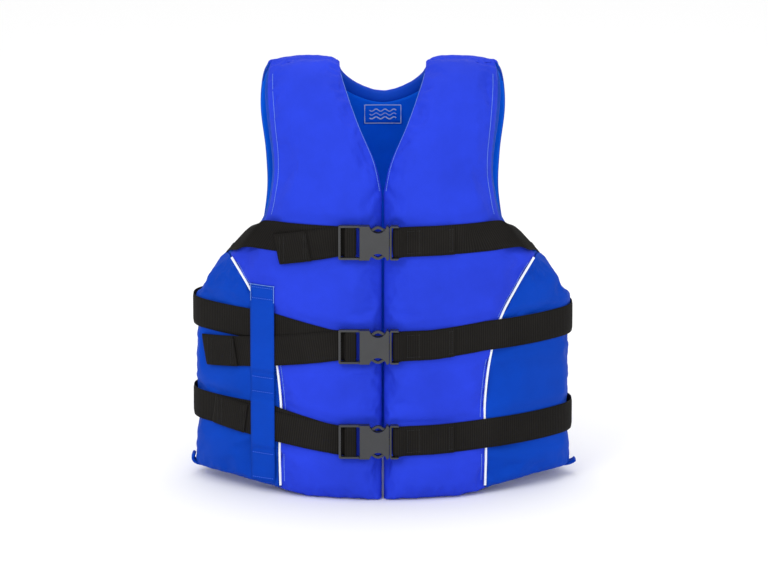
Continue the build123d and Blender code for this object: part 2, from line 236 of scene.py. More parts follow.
# moulded plastic: fine grain in the bump and in the roughness
def plasticMaterial(name, colour):
    material, tree, shader = newMaterial(name)
    link = tree.links.new
    where = addNode(tree, "ShaderNodeTexCoord")
    grain = addNode(tree, "ShaderNodeTexNoise", [("Scale", 900.0), ("Detail", 3.0)])
    cloud = addNode(tree, "ShaderNodeTexNoise", [("Scale", 60.0), ("Detail", 4.0)])
    for texture in (grain, cloud):
        link(where.outputs["Object"], texture.inputs["Vector"])
    ramp = addNode(tree, "ShaderNodeValToRGB")
    ramp.color_ramp.elements[0].color = (*[c * 0.8 for c in colour], 1)
    ramp.color_ramp.elements[1].color = (*[c * 1.3 for c in colour], 1)
    link(cloud.outputs["Fac"], ramp.inputs["Fac"])
    link(ramp.outputs["Color"], shader.inputs["Base Color"])
    rough = addNode(tree, "ShaderNodeMapRange", [("To Min", 0.28), ("To Max", 0.42)])
    link(cloud.outputs["Fac"], rough.inputs["Value"])
    link(rough.outputs["Result"], shader.inputs["Roughness"])
    bump = addNode(tree, "ShaderNodeBump", [("Strength", 0.12), ("Distance", 0.0002)])
    link(grain.outputs["Fac"], bump.inputs["Height"])
    link(bump.outputs["Normal"], shader.inputs["Normal"])
    return material


sides = {"left": 1, "right": -1}  # the wearer's own, as signs of x

finishes = {
    "royalNylon": clothMaterial("royalNylon", (0.019, 0.050, 0.66), 420.0),
    "blueNylon": clothMaterial("blueNylon", (0.0, 0.052, 0.47), 420.0),
    # lining colour: painted light, about twice as bright as the matching blue side cloth, to make up for the
    # shade inside the vest
    "liningNylonPaintedLit": clothMaterial("liningNylonPaintedLit", (0.0, 0.13, 0.85), 420.0),
    "blackWebbing": clothMaterial("blackWebbing", (0.021, 0.019, 0.017), 240.0, along=105.0, depth=0.7,
                                  shade=0.2, roughness=0.75, relief=0.8),
    "whitePiping": clothMaterial("whitePiping", (0.86, 0.90, 0.96), 500.0, depth=0.08, shade=0.03),
    "blueThread": clothMaterial("blueThread", (0.07, 0.18, 0.88), 900.0, "Object", shade=0.1),
    # edge thread: real topstitching, lightened into a painted highlight for the light line along the rounded
    # edges
    "paleThreadPaintedHighlight": clothMaterial("paleThreadPaintedHighlight", (0.22, 0.38, 0.85), 900.0, "Object", shade=0.1),
    "blackThread": clothMaterial("blackThread", (0.03, 0.03, 0.03), 900.0, "Object", shade=0.1),
    "labelPrint": clothMaterial("labelPrint", (0.62, 0.72, 0.86), 600.0, shade=0.05),
    "blackPlastic": plasticMaterial("blackPlastic", (0.022, 0.023, 0.025)),
}
print("materials made")

# helpers that turn grids into pieces


def meshPiece(name, points, faces, finish, uvs=None):
    mesh = bpy.data.meshes.new(name)
    mesh.from_pydata([tuple(p) for p in points], [], faces)
    if uvs is not None:
        layer = mesh.uv_layers.new(name="cloth")
        corners = np.zeros(len(mesh.loops), int)
        mesh.loops.foreach_get("vertex_index", corners)
        layer.data.foreach_set("uv", np.asarray(uvs, float)[corners].ravel())
    mesh.update()
    mesh.shade_smooth()
    mesh.materials.append(finishes[finish])
    piece = bpy.data.objects.new(name, mesh)
    bpy.context.scene.collection.objects.link(piece)
    return piece


# drops points without a face, turns the faces outwards and says which points were kept
def facesOutward(piece):
    work = bmesh.new()
    work.from_mesh(piece.data)
    kept = np.array([bool(v.link_faces) for v in work.verts])
    bmesh.ops.delete(work, geom=[v for v in work.verts if not v.link_faces], context="VERTS")
    bmesh.ops.recalc_face_normals(work, faces=work.faces)
    work.to_mesh(piece.data)
    work.free()
    return kept


def refine(piece, levels=1):
    modifier = piece.modifiers.new("refine", "SUBSURF")
    modifier.levels = modifier.render_levels = levels


webs = {
    "halfWidth": 19 * mm,
    "thick": 1.6 * mm,
    "lift": 1.5 * mm,
    "gap": 0.3 * mm,
    "fold": 40 * mm,
    "ladder": 52.9 * mm,  # x where a tail leaves its socket
    "pitch": 0.9 * mm,
    "rib": 3.0 * mm,
    "ribDepth": 0.18 * mm,
    "sewnLift": 2.2 * mm,  # how far a sewn end lies above the layer under it
}
belts = {  # heights at the buckle and at the sides, how far the tail reaches and how it slants
    "chest": {"left": 336 * mm, "right": 336 * mm, "backHeight": 266 * mm, "tailEnd": 133 * mm,
              "tailDrop": 0.20},
    "waist": {"left": 208 * mm, "right": 219 * mm, "tailEnd": 226 * mm, "tailDrop": 0.165},
    "hip": {"left": 81 * mm, "right": 99 * mm, "tailEnd": 213 * mm, "tailDrop": -0.13},
}
for beltName, belt in belts.items():
    socketLow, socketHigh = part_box(f"{beltName}_buckle_socket")
    belt["buckle"] = (socketLow.z + socketHigh.z) / 2
keeper = {
    "left": -166.5 * mm,
    "right": -136.5 * mm,
    "low": 16 * mm,
    "high": 271 * mm,
    "lift": 5.6 * mm,
    "thick": 1.0 * mm,
    "ramp": 6 * mm,
    "tunnels": ((57 * mm, 127 * mm), (156 * mm, 248 * mm)),  # where it stands clear of the belts
}


# centre line of the main web on the front
def beltHeight(belt, x):
    heights = [belt["right"], belt["buckle"], belt["buckle"], belt["left"]]
    return np.interp(x, [-0.145, -0.062, 0.062, 0.130], heights)


def backHeight(belt, x):
    return np.interp(x, [-0.24, 0.24], [belt["right"], belt["left"]])


# distance along the face from the nearest webbing or keeper
def clearOfWebs(points, facing):
    x, z = points[:, 0], points[:, 2]
    best = np.full(len(x), 1.0)
    for beltName, belt in belts.items():
        if facing < 0:
            middle = beltHeight(belt, x)
        else:
            middle = backHeight(belt, x)
        if beltName == "chest" and facing > 0:
            middle = np.full(len(x), belt["backHeight"])
        best = np.minimum(best, np.maximum(0, np.abs(z - middle) - webs["halfWidth"]))
        if facing < 0:
            along = (x < -webs["ladder"]) & (x > -belt["tailEnd"])
            middle = belt["buckle"] - belt["tailDrop"] * (-x - webs["ladder"])
            off = np.maximum(0, np.abs(z - middle) - webs["halfWidth"])
            best = np.where(along, np.minimum(best, off), best)
    if facing < 0:
        keeperMiddle = (keeper["left"] + keeper["right"]) / 2
        offX = np.maximum(0, np.abs(x - keeperMiddle) - (keeper["right"] - keeper["left"]) / 2)
        offZ = np.maximum(0, z - keeper["high"])
        best = np.minimum(best, np.hypot(offX, offZ))
    return best


padding = {
    "edgeRound": 13 * mm,
    "seamRound": 3.5 * mm,
    "sideSeam": 7 * mm,
    "puff": 3.0 * mm,  # how far the foam pushes the cloth out between the belts
    "underWeb": 1.3 * mm,  # most that cloth may stand out under webbing
    "openRise": 7.0 * mm,
    "offFloor": 0.3 * mm,
    "pucker": 0.8 * mm,
    "puckerPitch": 13 * mm,
    "puckerFrom": 9 * mm,  # how far from the edge the puckers are deepest
    "puckerSpread": 8 * mm,
    "topRound": 5 * mm,
    "hemRound": 8 * mm,
    "sideSeamTop": 234 * mm,
    "wallLayers": 4,
    "seeds": {"centre": 11, "side": 21, "back": 31},
}


def gridQuads(index, cells):
    return [(index[i, j], index[i, j + 1], index[i + 1, j + 1], index[i + 1, j])
            for i in range(index.shape[0] - 1) for j in range(index.shape[1] - 1) if cells[i, j]]


def openEdges(quads):
    used = {(a, b) for quad in quads for a, b in zip(quad, quad[1:] + quad[:1])}
    return sorted((a, b) for a, b in used if (b, a) not in used)


# the open edges, and for every point its distance to them, the place along them and the rounding there
def rimFacts(base, quads, rounds):
    rim = openEdges(quads)
    rimStart = np.array([a for a, b in rim])
    rimEnd = np.array([b for a, b in rim])
    probes = np.vstack([base[rimStart] + (base[rimEnd] - base[rimStart]) * t for t in (0, 1 / 3, 2 / 3)])
    follow = dict(rim)
    travelled, distance = {}, 0.0
    for first in rimStart:
        at = first
        while at not in travelled:
            travelled[at] = distance
            distance += float(np.linalg.norm(base[follow[at]] - base[at]))
            at = follow[at]
    lengths = np.linalg.norm(base[rimEnd] - base[rimStart], axis=1)
    starts = np.array([travelled[a] for a in rimStart])
    probeTravel = np.concatenate([starts + lengths * t for t in (0, 1 / 3, 2 / 3)])
    near = np.zeros(len(base), int)
    away = np.zeros(len(base))
    for block in range(0, len(base), 2000):
        gaps = np.linalg.norm(base[block:block + 2000, None] - probes[None], axis=2)
        near[block:block + 2000] = gaps.argmin(1)
        away[block:block + 2000] = gaps.min(1)
    return rim, rimStart, away, probeTravel[near], np.tile(rounds[rimStart], 3)[near]


# how far the face is rounded back at the edge, as a share of the wall
def edgeSink(away, radius):
    part = np.clip(away / radius, 0, 1)
    return radius * (1 - np.sqrt(1 - (1 - part) ** 2)) / torso["wallFront"]


# a closed padded body from a grid on the wall; rounds gives the edge rounding at every grid point
def padPiece(name, arcs, rows, facing, finish, rounds, cells=None):
    count = arcs.shape
    angles = np.sign(arcs) * angleAtArc(np.abs(arcs), rows)
    if cells is None:
        cells = np.ones((count[0] - 1, count[1] - 1), bool)
    index = np.arange(count[0] * count[1]).reshape(count)
    quads = gridQuads(index, cells)
    base = wallPoint(angles, rows, 0.0, facing).reshape(-1, 3)
    rim, rimStart, away, travel, radius = rimFacts(base, quads, rounds.ravel())
    sunk = edgeSink(away, radius)
    flatAngles, flatRows = angles.ravel(), rows.ravel()
    outer = wallPoint(flatAngles, flatRows, sunk, facing)
    inner = wallPoint(flatAngles, flatRows, 1 - sunk, facing)
    layers = padding["wallLayers"]
    walls = [wallPoint(flatAngles, flatRows, sunk + (1 - 2 * sunk) * k / layers, facing)
             for k in range(1, layers)]
    total = len(base)
    points = [outer, inner]
    faces = [tuple(q) for q in quads] + [tuple(v + total for v in reversed(q)) for q in quads]
    rimIds = sorted(set(rimStart))
    place = {v: k for k, v in enumerate(rimIds)}
    for wallLayer in walls:
        points.append(wallLayer[rimIds])

    def ringVertex(v, level):
        if level == 0:
            return v
        if level == layers:
            return v + total
        return 2 * total + (level - 1) * len(rimIds) + place[v]

    for a, b in rim:
        for level in range(layers):
            faces.append((ringVertex(b, level), ringVertex(a, level),
                          ringVertex(a, level + 1), ringVertex(b, level + 1)))
    points = np.vstack(points)
    flatArcs = arcs.ravel()
    uv = np.stack([flatArcs, flatRows], axis=1)
    uvs = np.vstack([uv, uv] + [uv[rimIds]] * (layers - 1))
    piece = meshPiece(name, points, faces, finish, uvs)
    piece.data.materials.append(finishes["blueNylon"])  # the lining turns over the edges
    for k, face in enumerate(piece.data.polygons):
        onWall = k - 2 * len(quads)
        face.material_index = int(k >= len(quads) and (onWall < 0 or onWall % layers > 0))
    kept = facesOutward(piece)
    isOuter = np.concatenate([np.ones(total, bool), np.zeros(len(points) - total, bool)])[kept]
    fullAway = np.concatenate([away, away, np.zeros(len(points) - 2 * total)])[kept]
    fullTravel = np.concatenate([travel, travel, np.zeros(len(points) - 2 * total)])[kept]
    return piece, {"outer": isOuter, "away": fullAway, "travel": fullTravel, "facing": facing}


def meshPoints(mesh):
    co = np.zeros(len(mesh.vertices) * 3)
    mesh.vertices.foreach_get("co", co)
    return co.reshape(-1, 3)


def meshNormals(mesh):
    normal = np.zeros(len(mesh.vertices) * 3)
    mesh.vertices.foreach_get("normal", normal)
    return normal.reshape(-1, 3)


# smooth seeded noise from a few crossed sines
def waves3(points, seed, scale):
    rng = np.random.default_rng(seed)
    total = np.zeros(len(points))
    for _ in range(7):
        direction = rng.normal(size=3)
        direction /= np.linalg.norm(direction)
        crossed = points @ direction * rng.uniform(0.7, 1.5) * 2 * math.pi / scale
        total += np.sin(crossed + rng.uniform(0, 6.28))
    return total / 7


inflation = {
    "pressure": 4.0,
    "grow": -0.035,
    "frames": 20,
    "cap": 7 * mm,
    "quality": 6,
    "mass": 0.2,
    "stretch": 12,
    "shear": 5,
    "bend": 0.35,
}


# pushes the outer cloth out between the belts, by cloth simulation and a little by a direct push
def padOut(piece, facts, seed):
    mesh = piece.data
    start = meshPoints(mesh)
    normal = meshNormals(mesh)
    room = clearOfWebs(start, facts["facing"])
    open_ = np.clip(room / (18 * mm), 0, 1)
    open_ = open_ * open_ * (3 - 2 * open_)
    fade = 1 - np.exp(-facts["away"] / (22 * mm))
    limit = padding["underWeb"] + (padding["openRise"] - padding["underWeb"]) * open_
    hand = (padding["puff"] * open_ * fade + 1.0 * mm * waves3(start, seed, 0.075) * fade) * facts["outer"]
    mesh.vertices.foreach_set("co", (start + normal * hand[:, None]).ravel())
    mesh.update()
    pinned = piece.vertex_groups.new(name="pinned")
    still = ~facts["outer"] | (facts["away"] < 1 * mm)
    pinned.add([int(v) for v in np.where(still)[0]], 1.0, "REPLACE")
    cloth = piece.modifiers.new("cloth", "CLOTH")
    settings = cloth.settings
    settings.quality = inflation["quality"]
    settings.mass = inflation["mass"]
    settings.tension_stiffness = settings.compression_stiffness = inflation["stretch"]
    settings.shear_stiffness = inflation["shear"]
    settings.bending_stiffness = inflation["bend"]
    settings.use_pressure = True
    settings.uniform_pressure_force = inflation["pressure"]
    settings.shrink_min = inflation["grow"]
    settings.vertex_group_mass = "pinned"
    settings.effector_weights.gravity = 0
    cloth.collision_settings.use_collision = False
    cloth.point_cache.frame_start, cloth.point_cache.frame_end = 1, inflation["frames"]
    for step in range(1, inflation["frames"] + 1):
        bpy.context.scene.frame_set(step)
    evaluated = piece.evaluated_get(bpy.context.evaluated_depsgraph_get())
    swollen = meshPoints(evaluated.to_mesh())
    evaluated.to_mesh_clear()
    piece.modifiers.remove(cloth)
    bpy.context.scene.frame_set(1)
    move = swollen - meshPoints(mesh)
    size = np.linalg.norm(move, axis=1, keepdims=True)
    move *= np.minimum(1, inflation["cap"] / np.maximum(size, 1e-9)) * facts["outer"][:, None]
    mesh.vertices.foreach_set("co", (meshPoints(mesh) + move).ravel())
    mesh.update()
    now = meshPoints(mesh)
    rise = ((now - start) * normal).sum(1)
    over = np.maximum(0, rise - limit)
    now -= normal * over[:, None]
    pucker = padding["pucker"] * np.sin(facts["travel"] / padding["puckerPitch"] * 2 * math.pi
                                        + 2.5 * waves3(now, seed + 9, 0.05))
    away = (facts["away"] - padding["puckerFrom"]) / padding["puckerSpread"]
    band = np.exp(-away ** 2) * facts["outer"] * (0.3 + 0.7 * open_)
    now += normal * (pucker * band)[:, None]
    now[:, 2] = np.maximum(now[:, 2], padding["offFloor"])
    mesh.vertices.foreach_set("co", now.ravel())
    mesh.update()


def endBunched(count, share=0.5):
    t = np.linspace(0, 1, count)
    return t * (1 - share) + share * (0.5 - 0.5 * np.cos(np.pi * t))


def rowList(top, step=5 * mm):
    low = np.concatenate([[0, 2, 4.5, 8, 12], np.arange(17, 350, step / mm)]) * mm - torso["shoulderStart"]
    high = np.arange(2 * mm, top - 10 * mm, step)
    return np.concatenate([low, high, top - np.array([8, 5, 2.5, 0]) * mm])


topRow = torso["shoulderRise"] * quarterTurn - torso["endGap"]


def heightOfRow(row):
    return rowForm(row, 0.0)[5]


# along the front to its outline, or to just short of the side seam
def arcToSide(x, rows):
    onSide = x >= torso["halfWidth"] - 0.1 * mm
    return np.where(onSide, arcAtX(torso["halfWidth"], rows) - torso["endGap"], arcAtX(x, rows))


# lower rows rise towards the side seams, as the hem does
def bendHem(rows, x):
    z = heightOfRow(rows)
    lower = rows < 0
    lifted = outlines["hemRise"](x) * np.clip(1 - z / torso["shoulderStart"], 0, 1)
    return np.where(lower, rows + lifted, rows)


frontPanel = {"centreColumns": 44, "sideColumns": 34, "sideTop": 297 * mm, "seamGap": 0.4 * mm}
pads = {}


def frontPads(label, side):
    rows = rowList(topRow)
    z = heightOfRow(rows)
    left = outlines["neck"](z) + torso["endGap"]
    seam = np.where(z < frontPanel["sideTop"], outlines["piping"](z), 1.0)
    right = np.minimum(outlines["frontArm"](z), seam - frontPanel["seamGap"])
    spread = endBunched(frontPanel["centreColumns"])
    grid = left[:, None] + (right - left)[:, None] * spread
    rowGrid = bendHem(np.repeat(rows[:, None], len(spread), 1), grid)
    arcs = arcAtX(grid, rowGrid) * side
    rounds = np.full(grid.shape, padding["edgeRound"])
    rounds[z < frontPanel["sideTop"], -1] = padding["seamRound"]
    rounds[-1] = padding["topRound"]
    rounds[0] = padding["hemRound"]
    centre, facts = padPiece(f"front_{label}_centre_pad", arcs, rowGrid, -1, "royalNylon", rounds)
    padOut(centre, facts, padding["seeds"]["centre"] + side)
    refine(centre)
    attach(centre, "vest")

    rows = rows[z < frontPanel["sideTop"]]
    rows = np.append(rows, frontPanel["sideTop"] - torso["shoulderStart"])
    z = heightOfRow(rows)
    inner = outlines["piping"](z) + frontPanel["seamGap"]
    outer = np.minimum(outlines["frontArm"](z), torso["halfWidth"])
    spread = endBunched(frontPanel["sideColumns"], 0.4)
    start = arcAtX(inner, rows)
    end = np.maximum(arcToSide(outer, rows), start + 1.0 * mm)
    arcGrid = start[:, None] + (end - start)[:, None] * spread
    rowGrid = np.repeat(rows[:, None], len(spread), 1)
    across = np.abs(wallPoint(angleAtArc(arcGrid, rowGrid), rowGrid, 0.0, -1)[..., 0])
    rowGrid = bendHem(rowGrid, across)
    rounds = np.full(arcGrid.shape, padding["edgeRound"])
    rounds[:, 0] = padding["seamRound"]
    rounds[z < padding["sideSeamTop"], -1] = padding["sideSeam"]
    rounds[0] = padding["hemRound"]
    sidePad, facts = padPiece(f"{label}_side_pad", arcGrid * side, rowGrid, -1, "blueNylon", rounds)
    padOut(sidePad, facts, padding["seeds"]["side"] + side)
    refine(sidePad)
    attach(sidePad, "vest")
    pads[label] = (centre, sidePad)
    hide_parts(f"front_{label}_cover", f"front_{label}_foam_outer", f"front_{label}_foam_middle",
                f"front_{label}_foam_inner", f"front_{label}_hem")
    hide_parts(f"{label}_side_cover")


for sideName, side in sides.items():
    frontPads(sideName, side)
print("front panels padded")

backPanel = {
    "midColumns": 26,
    "sideColumns": 36,
    "neckRows": 14,
    "neckHalf": 46 * mm,
    "neckLow": 486 * mm,
    "shoulderLow": 512 * mm,
    "bendFrom": 380 * mm,  # rows above this follow the neckline's dip
}


# the row on the shoulder's curve that stands at a height
def rowAtHeight(height):
    return torso["shoulderRise"] * math.asin((height - torso["shoulderStart"]) / torso["shoulderRise"])


def backGrid():
    top = backPanel["shoulderLow"]
    lowRows = rowList(topRow)
    lowRows = lowRows[heightOfRow(lowRows) < backPanel["neckLow"] - 3 * mm]
    lowRows = np.append(lowRows, rowAtHeight(backPanel["neckLow"]))
    shoulderStartRow = rowAtHeight(top)
    highRows = shoulderStartRow + (topRow - shoulderStartRow) * endBunched(backPanel["neckRows"], 0.3)[1:]
    neckX, neckZ = outlines["backNeck"][:, 0], outlines["backNeck"][:, 1]
    side = endBunched(backPanel["sideColumns"], 0.5)
    mid = np.linspace(-1, 1, backPanel["midColumns"] + 1)
    gridX, gridRow = [], []
    for row in np.concatenate([lowRows, highRows]):
        high = row > lowRows[-1] + 1e-6
        z = float(heightOfRow(row))
        if high:
            arm = float(outlines["backArm"](z))
            neck = float(np.interp(z, neckZ, neckX))
        else:
            share = max(0.0, (z - backPanel["bendFrom"]) / (backPanel["neckLow"] - backPanel["bendFrom"]))
            lift = share**2 * (top - backPanel["neckLow"])
            arm = float(outlines["backArm"](z + lift))
            neck = backPanel["neckHalf"]
        arm = min(arm, torso["halfWidth"])
        right = neck + (arm - neck) * side[1:]
        left = -right[::-1]
        middle = mid * neck
        x = np.concatenate([left, middle, right])
        if high:
            rowLine = np.full(len(x), row)
        else:
            bump = np.interp(np.abs(x), neckX, neckZ) - backPanel["neckLow"]
            bump = np.minimum(bump, top - backPanel["neckLow"])
            zLine = z + share**2 * bump
            over = np.clip((zLine - torso["shoulderStart"]) / torso["shoulderRise"], 0, 1)
            rowLine = np.where(zLine > torso["shoulderStart"], torso["shoulderRise"] * np.arcsin(over), row)
        gridX.append(x)
        gridRow.append(rowLine)
    return np.array(gridX), np.array(gridRow), len(lowRows)


gridX, gridRow, lowCount = backGrid()
flat = arcAtX(np.abs(gridX), gridRow)
sideLimit = arcAtX(torso["halfWidth"], gridRow) - torso["endGap"]
# spread each row evenly along the cloth where it goes round the side
for i in range(len(gridX)):
    edge = min(abs(gridX[i, -1]), torso["halfWidth"])
    if edge > 170 * mm:
        far = min(float(arcAtX(edge, gridRow[i, -1])), float(sideLimit[i, -1]))
        nearArc = float(arcAtX(backPanel["neckHalf"], gridRow[i, -1]))
        line = nearArc + (far - nearArc) * endBunched(backPanel["sideColumns"], 0.5)[1:]
        flat[i, -len(line):] = line
        flat[i, :len(line)] = line[::-1]
backArcs = np.sign(gridX) * flat
backX = np.abs(wallPoint(angleAtArc(np.abs(backArcs), gridRow), gridRow, 0.0, 1)[..., 0])
gridRow = bendHem(gridRow, backX)
backCells = np.ones((gridX.shape[0] - 1, gridX.shape[1] - 1), bool)
firstMid = backPanel["sideColumns"] - 1
backCells[lowCount - 1:, firstMid:firstMid + backPanel["midColumns"]] = False
backRounds = np.full(gridX.shape, padding["edgeRound"])
backRounds[-1] = padding["topRound"]
backRounds[0] = padding["hemRound"]
lowSide = heightOfRow(gridRow[:, -1]) < padding["sideSeamTop"]
backRounds[lowSide, 0] = backRounds[lowSide, -1] = padding["sideSeam"]
backPad, backFacts = padPiece("back_pad", backArcs, gridRow, 1, "royalNylon", backRounds, backCells)
padOut(backPad, backFacts, padding["seeds"]["back"])
refine(backPad)
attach(backPad, "vest")
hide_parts("back_cover", "back_foam_outer", "back_foam_middle", "back_foam_inner", "back_hem")
print("back panel padded")


# linings: thin cloth over the inner face of each panel
lining = {
    "lift": 0.5 * mm,
    "thick": 0.7 * mm,
    "edge": 5 * mm,
    "sideSeamTop": 238 * mm,
    "length": 0.62,  # cut length from hem to shoulder, in metres
    "columns": 64,
    "seed": 5,
}


# the same edges as the pad, so the cloth lies on the pad's rounded inner face and ends just inside them
def liningPiece(name, arcs, rows, facing, rounds, cells=None):
    angles = np.sign(arcs) * angleAtArc(np.abs(arcs), rows)
    count = arcs.shape
    if cells is None:
        cells = np.ones((count[0] - 1, count[1] - 1), bool)
    index = np.arange(count[0] * count[1]).reshape(count)
    base = wallPoint(angles, rows, 0.0, facing).reshape(-1, 3)
    away, _, radius = rimFacts(base, gridQuads(index, cells), rounds.ravel())[2:]
    inside = (away > lining["edge"]).reshape(count)
    cells = cells & inside[:-1, :-1] & inside[1:, :-1] & inside[:-1, 1:] & inside[1:, 1:]
    share = 1 - edgeSink(away, radius) + lining["lift"] / torso["wallFront"]
    flatAngles, flatRows = angles.ravel(), rows.ravel()
    points = wallPoint(flatAngles, flatRows, share, facing)
    inward = wallPoint(flatAngles, flatRows, share + lining["thick"] / torso["wallFront"], facing)
    quads = gridQuads(index, cells)
    total = len(points)
    faces = [tuple(q) for q in quads] + [tuple(v + total for v in reversed(q)) for q in quads]
    faces += [(b, a, a + total, b + total) for a, b in openEdges(quads)]
    uv = np.stack([arcs.ravel(), rows.ravel()], axis=1)
    drape = (0.5 + 0.5 * waves3(points, lining["seed"], 0.09)[:, None]) * (inward - points) * 0.8
    both = np.vstack([points + drape, inward + drape])
    # the lining takes the painted-bright lining colour, which stands in for light that does not reach inside
    # the vest
    piece = meshPiece(name, both, faces, "liningNylonPaintedLit", np.vstack([uv, uv]))
    facesOutward(piece)
    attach(piece, "vest")
    return piece


def frontLining(label, side):
    rows = rowList(topRow)
    z = heightOfRow(rows)
    start = arcAtX(outlines["neck"](z) + torso["endGap"], rows)
    far = np.minimum(outlines["frontArm"](z), torso["halfWidth"])
    end = arcToSide(far, rows)
    spread = endBunched(lining["columns"], 0.3)
    arcGrid = start[:, None] + (end - start)[:, None] * spread
    rowGrid = np.repeat(rows[:, None], len(spread), 1)
    across = np.abs(wallPoint(angleAtArc(arcGrid, rowGrid), rowGrid, 0.0, -1)[..., 0])
    rounds = np.full(arcGrid.shape, padding["edgeRound"])
    rounds[z < lining["sideSeamTop"], -1] = padding["sideSeam"]
    rounds[-1] = padding["topRound"]
    rounds[0] = padding["hemRound"]
    piece = liningPiece(f"front_{label}_lining_cloth", arcGrid * side, bendHem(rowGrid, across), -1, rounds)
    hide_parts(f"front_{label}_lining")


for sideName, side in sides.items():
    frontLining(sideName, side)
backLining = liningPiece("back_lining_cloth", backArcs, gridRow, 1, backRounds, backCells)
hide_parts("back_lining")
print("linings made")


# ribbons: webbing, keeper, bindings


# a strip through pairs of edge points (first edge, second edge), smoothed and spaced by pitch
def ribbonPiece(name, pairs, finish, thick, pitch, ribs=0.0, columns=9, outward=None):
    both = np.array([[*a, *b] for a, b in pairs], float)
    fine = smoothThrough(both, 16)
    mid = (fine[:, :3] + fine[:, 3:]) / 2
    run = np.concatenate([[0], np.cumsum(np.linalg.norm(np.diff(mid, axis=0), axis=1))])
    count = max(4, int(run[-1] / pitch))
    at = np.linspace(0, run[-1], count)
    line = np.stack([np.interp(at, run, fine[:, k]) for k in range(6)], axis=1)
    first, second = line[:, :3], line[:, 3:]
    mid = (first + second) / 2
    across = second - first
    along = np.gradient(mid, axis=0)
    normal = np.cross(along, across)
    normal /= np.maximum(np.linalg.norm(normal, axis=1, keepdims=True), 1e-9)
    if outward is not None:
        away = mid[outward] - np.array([0, torso["middle"], mid[outward][2]])
        flip = np.sign((normal[outward] * away).sum()) or 1
        normal *= flip
    spread = np.linspace(-1, 1, columns)
    shape = np.sqrt(np.clip(1 - np.abs(spread) ** 9, 0, 1)) * 0.75 + 0.25  # thinner selvedges
    rib = ribs * np.cos(2 * math.pi * at / webs["rib"])
    points, faces, uvs = [], [], []
    for i in range(count):
        for level in (1, -1):
            for k in range(columns):
                place = mid[i] + across[i] * 0.5 * spread[k]
                push = level * (thick / 2 * shape[k] + rib[i] * (abs(spread[k]) < 0.95))
                points.append(place + normal[i] * push)
                uvs.append((at[i], spread[k] * np.linalg.norm(across[i]) / 2))
    ring = 2 * columns
    order = list(range(columns)) + list(range(ring - 1, columns - 1, -1))
    for i in range(count - 1):
        for a, b in zip(order, order[1:] + order[:1]):
            faces.append((i * ring + a, i * ring + b, (i + 1) * ring + b, (i + 1) * ring + a))
    for k in range(columns - 1):
        faces.append((k, k + columns, k + columns + 1, k + 1))
        last = (count - 1) * ring
        faces.append((last + k, last + k + 1, last + k + columns + 1, last + k + columns))
    piece = meshPiece(name, points, faces, finish, uvs)
    facesOutward(piece)
    return piece


# a pair of edge points above each other, in the torso's own middle
def upright(x, y, z):
    return tuple((x, y + torso["middle"], z + way * webs["halfWidth"]) for way in (1, -1))


# pairs along the loop round the torso from one angle to another
def loopPairs(belt, start, stop, lift, step=0.04):
    pairs = []
    for angle in np.linspace(start, stop, max(3, int(abs(stop - start) / step))):
        x, y = loopPoint(angle, lift)
        if y < 0:
            z = float(beltHeight(belt, x))
        else:
            z = float(backHeight(belt, x))
        pairs.append(upright(x, y, z))
    return pairs


# upper and lower edge points where the chest belt folds over the armhole edge and drops to the back
chestRibbon = [
    ((118, -1, 355, 0), (136, -1, 317, 0)),
    ((146, -1, 355, 0), (170, -1, 317, 0)),
    ((156, -1, 349, -2), (184, -1, 310, -3)),
    ((168, -50, 334, 0), (196, -37, 300, 0)),
    ((184, 0, 305, 0), (209, 0, 274, 0)),
    ((190, 50, 290, 0), (205, 52, 256, 0)),
    ((172, 1, 285, 3), (178, 1, 247, 3.5)),
    ((124, 1, 284.6, 0), (138, 1, 247.4, 0)),
]
webMiddle = webs["lift"] + webs["thick"] / 2


def chestSection(index, side):
    pair = []
    for x, y, z, extra in chestRibbon[index]:
        if abs(y) == 1:  # on the front or back face
            y = y * faceDepth(x * mm, webMiddle + extra * mm)
        else:
            y = y * mm
        pair.append((side * x * mm, y + torso["middle"], z * mm))
    return tuple(pair)


def angleOf(x):
    return math.asin(x / mainRadius)


# from the side on the left, round the back and the right, under the ladder bar and round the inner bar
def makeFixedWeb(beltName, belt):
    pairs = []
    if beltName == "chest":
        pairs += [chestSection(k, 1) for k in (4, 5, 6, 7)]
        for x in np.linspace(110, -110, 24):
            pairs.append(upright(x * mm, faceDepth(x * mm, webMiddle), belt["backHeight"]))
        pairs += [chestSection(k, -1) for k in (7, 6, 5, 4, 3, 2, 1, 0)]
        for x in np.linspace(-104, -64, 6):
            pairs.append(upright(x * mm, -faceDepth(x * mm, webMiddle), belt["buckle"]))
    else:
        pairs += loopPairs(belt, quarterTurn + 0.02, 2 * math.pi - angleOf(64 * mm), webMiddle)
    z = belt["buckle"]
    barPath = [(-56, -faceDepth(0.056, webMiddle) / mm), (-44, -faceDepth(0.044, webMiddle) / mm - 0.3),
               (-36.5, -134.6), (-34.4, -135.4), (-33.9, -137.2), (-33.9, -140.8), (-34.5, -142.2),
               (-36.2, -142.6), (-44.8, -142.6), (-46.6, -142.1), (-47.1, -140.6), (-47.3, -137.6),
               (-48.4, -135.6), (-51, -134.6), (-54, -133.6)]
    pairs += [upright(x * mm, y * mm, z) for x, y in barPath]
    piece = ribbonPiece(f"{beltName}_belt_web", pairs, "blackWebbing", webs["thick"], webs["pitch"],
                        webs["ribDepth"], outward=20)
    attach(piece, "vest")
    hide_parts(f"{beltName}_belt")


